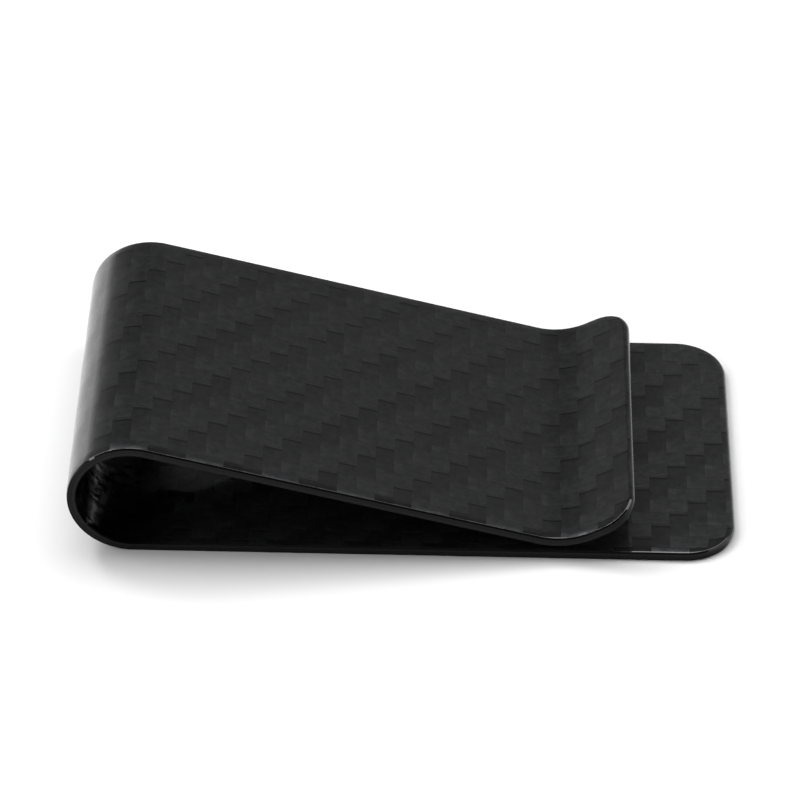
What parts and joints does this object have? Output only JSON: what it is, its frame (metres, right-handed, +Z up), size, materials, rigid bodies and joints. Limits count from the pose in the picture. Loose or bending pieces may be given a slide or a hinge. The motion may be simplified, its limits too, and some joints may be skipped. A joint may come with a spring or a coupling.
{
  "type": "money clip",
  "caption": "Spring money clip folded from one carbon fibre laminate: a flat base, a round bend and an arm that grips folded notes.",
  "frame": {"origin": "on the surface that the clip lies on, under the middle of its bounding box", "axes": "+X along the clip from the bend to the open end; +Y across the notes; +Z up, from the base to the arm"},
  "size_m": [0.07, 0.0364, 0.0136],
  "materials": {
    "twill_ply": "2x2 twill carbon fibre under clear epoxy",
    "core_ply": "unidirectional carbon fibre in epoxy"
  },
  "bodies": {
    "base": {"base_outer_twill_ply": "twill_ply", "base_core_ply_1": "core_ply", "base_core_ply_2": "core_ply", "base_core_ply_3": "core_ply", "base_core_ply_4": "core_ply", "base_core_ply_5": "core_ply", "base_inner_twill_ply": "twill_ply", "bend_outer_twill_ply": "twill_ply", "bend_core_ply_1": "core_ply", "bend_core_ply_2": "core_ply", "bend_core_ply_3": "core_ply", "bend_core_ply_4": "core_ply", "bend_core_ply_5": "core_ply", "bend_inner_twill_ply": "twill_ply"},
    "arm": {"arm_outer_twill_ply": "twill_ply", "arm_core_ply_1": "core_ply", "arm_core_ply_2": "core_ply", "arm_core_ply_3": "core_ply", "arm_core_ply_4": "core_ply", "arm_core_ply_5": "core_ply", "arm_inner_twill_ply": "twill_ply"}
  },
  "joints": [
    {"name": "arm_flex", "type": "hinge", "parent": "base", "child": "arm", "pos_m": [-0.03184, 0, 0.00726], "axis": [0, -1, 0], "range_deg": [-0.5, 9], "stiffness_Nm_per_rad": 5.8, "deforming": ["bend_outer_twill_ply", "bend_core_ply_1", "bend_core_ply_2", "bend_core_ply_3", "bend_core_ply_4", "bend_core_ply_5", "bend_inner_twill_ply"]}
  ]
}
